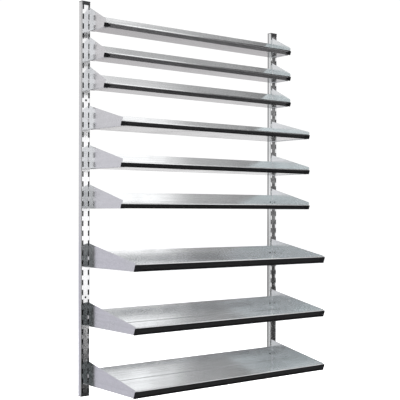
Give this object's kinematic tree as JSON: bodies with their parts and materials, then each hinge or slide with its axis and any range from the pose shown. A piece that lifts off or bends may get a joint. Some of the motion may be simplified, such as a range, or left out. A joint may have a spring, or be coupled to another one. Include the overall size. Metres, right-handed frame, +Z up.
{
  "type": "wall rack",
  "caption": "Wall rack with slotted steel uprights and hook-in folded shelves of three depths, each a tray between side brackets with a ticket strip along its front lip.",
  "frame": {"origin": "middle of the four outer wall-screw holes, on the front faces of the uprights; the wall lies 30 mm behind", "axes": "+Z up along the uprights, +Y into the wall, +X to the right for someone facing the rack"},
  "size_m": [1.35, 0.465, 2.006],
  "materials": {
    "galvanised_steel": "bright galvanised",
    "tray_steel": "bright galvanised, near mirror",
    "bracket_steel": "satin galvanised",
    "ticket_plastic": "semi-gloss black",
    "cap_plastic": "moulded matte black",
    "screw_zinc": "black zinc plate"
  },
  "bodies": {
    "uprights": {"left_upright": "galvanised_steel", "right_upright": "galvanised_steel", "left_top_cap": "cap_plastic", "left_bottom_cap": "cap_plastic", "right_top_cap": "cap_plastic", "right_bottom_cap": "cap_plastic"},
    "shelf_1": {"shelf_1_tray": "tray_steel", "shelf_1_left_bracket": "bracket_steel", "shelf_1_right_bracket": "bracket_steel", "shelf_1_ticket_strip": "ticket_plastic", "shelf_1_strip_ends": "ticket_plastic", "shelf_1_screws": "screw_zinc"},
    "shelf_2": {"shelf_2_tray": "tray_steel", "shelf_2_left_bracket": "bracket_steel", "shelf_2_right_bracket": "bracket_steel", "shelf_2_ticket_strip": "ticket_plastic", "shelf_2_strip_ends": "ticket_plastic", "shelf_2_screws": "screw_zinc"},
    "shelf_3": {"shelf_3_tray": "tray_steel", "shelf_3_left_bracket": "bracket_steel", "shelf_3_right_bracket": "bracket_steel", "shelf_3_ticket_strip": "ticket_plastic", "shelf_3_strip_ends": "ticket_plastic", "shelf_3_screws": "screw_zinc"},
    "shelf_4": {"shelf_4_tray": "tray_steel", "shelf_4_left_bracket": "bracket_steel", "shelf_4_right_bracket": "bracket_steel", "shelf_4_ticket_strip": "ticket_plastic", "shelf_4_strip_ends": "ticket_plastic", "shelf_4_screws": "screw_zinc"},
    "shelf_5": {"shelf_5_tray": "tray_steel", "shelf_5_left_bracket": "bracket_steel", "shelf_5_right_bracket": "bracket_steel", "shelf_5_ticket_strip": "ticket_plastic", "shelf_5_strip_ends": "ticket_plastic", "shelf_5_screws": "screw_zinc"},
    "shelf_6": {"shelf_6_tray": "tray_steel", "shelf_6_left_bracket": "bracket_steel", "shelf_6_right_bracket": "bracket_steel", "shelf_6_ticket_strip": "ticket_plastic", "shelf_6_strip_ends": "ticket_plastic", "shelf_6_screws": "screw_zinc"},
    "shelf_7": {"shelf_7_tray": "tray_steel", "shelf_7_left_bracket": "bracket_steel", "shelf_7_right_bracket": "bracket_steel", "shelf_7_ticket_strip": "ticket_plastic", "shelf_7_strip_ends": "ticket_plastic", "shelf_7_screws": "screw_zinc"},
    "shelf_8": {"shelf_8_tray": "tray_steel", "shelf_8_left_bracket": "bracket_steel", "shelf_8_right_bracket": "bracket_steel", "shelf_8_ticket_strip": "ticket_plastic", "shelf_8_strip_ends": "ticket_plastic", "shelf_8_screws": "screw_zinc"},
    "shelf_9": {"shelf_9_tray": "tray_steel", "shelf_9_left_bracket": "bracket_steel", "shelf_9_right_bracket": "bracket_steel", "shelf_9_ticket_strip": "ticket_plastic", "shelf_9_strip_ends": "ticket_plastic", "shelf_9_screws": "screw_zinc"}
  },
  "joints": [
    {"name": "shelf_1_lift", "type": "slide", "parent": "uprights", "child": "shelf_1", "axis": [0, 0, 1], "range_m": [0, 0.012]},
    {"name": "shelf_2_lift", "type": "slide", "parent": "uprights", "child": "shelf_2", "axis": [0, 0, 1], "range_m": [0, 0.012]},
    {"name": "shelf_3_lift", "type": "slide", "parent": "uprights", "child": "shelf_3", "axis": [0, 0, 1], "range_m": [0, 0.012]},
    {"name": "shelf_4_lift", "type": "slide", "parent": "uprights", "child": "shelf_4", "axis": [0, 0, 1], "range_m": [0, 0.012]},
    {"name": "shelf_5_lift", "type": "slide", "parent": "uprights", "child": "shelf_5", "axis": [0, 0, 1], "range_m": [0, 0.012]},
    {"name": "shelf_6_lift", "type": "slide", "parent": "uprights", "child": "shelf_6", "axis": [0, 0, 1], "range_m": [0, 0.012]},
    {"name": "shelf_7_lift", "type": "slide", "parent": "uprights", "child": "shelf_7", "axis": [0, 0, 1], "range_m": [0, 0.012]},
    {"name": "shelf_8_lift", "type": "slide", "parent": "uprights", "child": "shelf_8", "axis": [0, 0, 1], "range_m": [0, 0.012]},
    {"name": "shelf_9_lift", "type": "slide", "parent": "uprights", "child": "shelf_9", "axis": [0, 0, 1], "range_m": [0, 0.012]}
  ]
}
